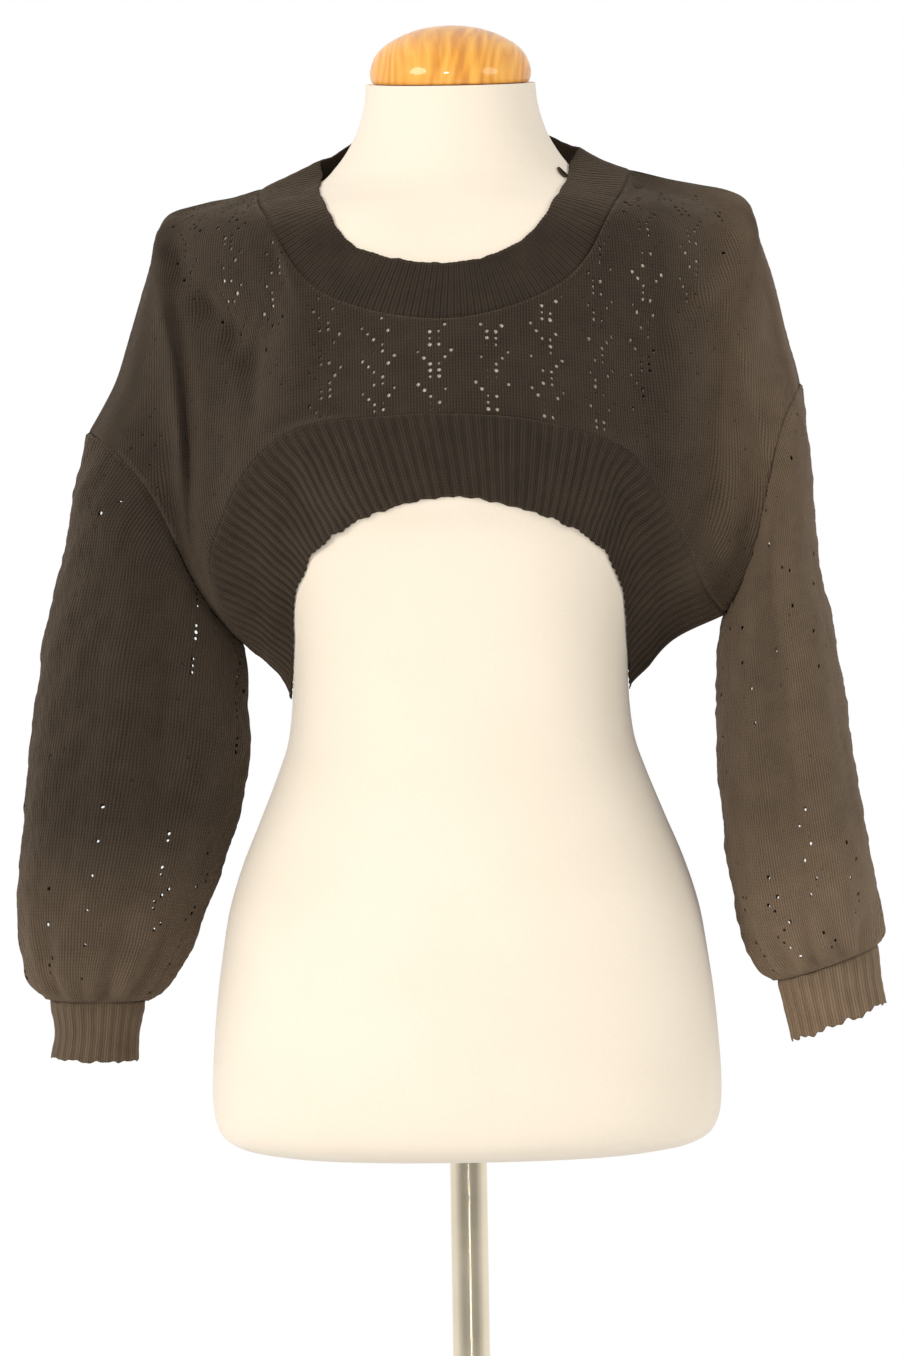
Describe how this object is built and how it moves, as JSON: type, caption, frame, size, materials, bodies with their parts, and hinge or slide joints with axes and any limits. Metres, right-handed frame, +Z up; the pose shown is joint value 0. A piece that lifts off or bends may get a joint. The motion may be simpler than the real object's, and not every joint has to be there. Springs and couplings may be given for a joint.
{
  "type": "cropped knit sweater on a dress form",
  "caption": "Cropped openwork knit pullover with arched ribbed hem and balloon sleeves, worn by a limbless dress form on a pole stand.",
  "frame": {"origin": "centre of the foot's underside, on the floor under the pole", "axes": "+Z up along the pole, +X across the chest to the viewer's right, -Y out of the front of the sweater"},
  "size_m": [0.5616, 0.34, 1.502],
  "materials": {
    "black_yarn": "fine soft knit",
    "cream_jersey": "matte",
    "varnished_wood": "gloss varnish",
    "bright_steel": "bright"
  },
  "bodies": {
    "root": {"front": "black_yarn", "back": "black_yarn", "sleeve_left": "black_yarn", "sleeve_right": "black_yarn", "neckband": "black_yarn", "hem_front": "black_yarn", "hem_back": "black_yarn", "cuff_left": "black_yarn", "cuff_right": "black_yarn", "form_torso": "cream_jersey", "neck_cap": "varnished_wood", "pole": "bright_steel", "base_plate": "bright_steel"}
  },
  "joints": []
}
